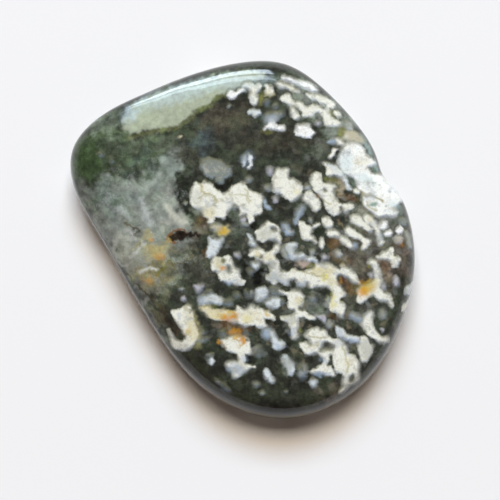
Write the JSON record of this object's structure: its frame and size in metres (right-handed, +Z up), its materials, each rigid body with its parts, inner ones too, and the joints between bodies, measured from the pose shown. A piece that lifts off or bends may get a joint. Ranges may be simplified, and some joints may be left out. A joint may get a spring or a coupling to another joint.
{
  "type": "moss agate tumbled stone",
  "caption": "Flat tumbled and polished moss agate with a rounded edge, lying on a small flat spot on its underside.",
  "frame": {"origin": "middle of the stone's footprint, on the surface that it rests on", "axes": "+Z up through the stone's thickness, +Y along its length across the face, +X to the right"},
  "size_m": [0.0346, 0.0364, 0.0066],
  "materials": {
    "agate": "high polish, dark moss green with crisp cream patches, blue-grey chalcedony and amber stains"
  },
  "bodies": {
    "root": {"moss_agate": "agate"}
  },
  "joints": []
}
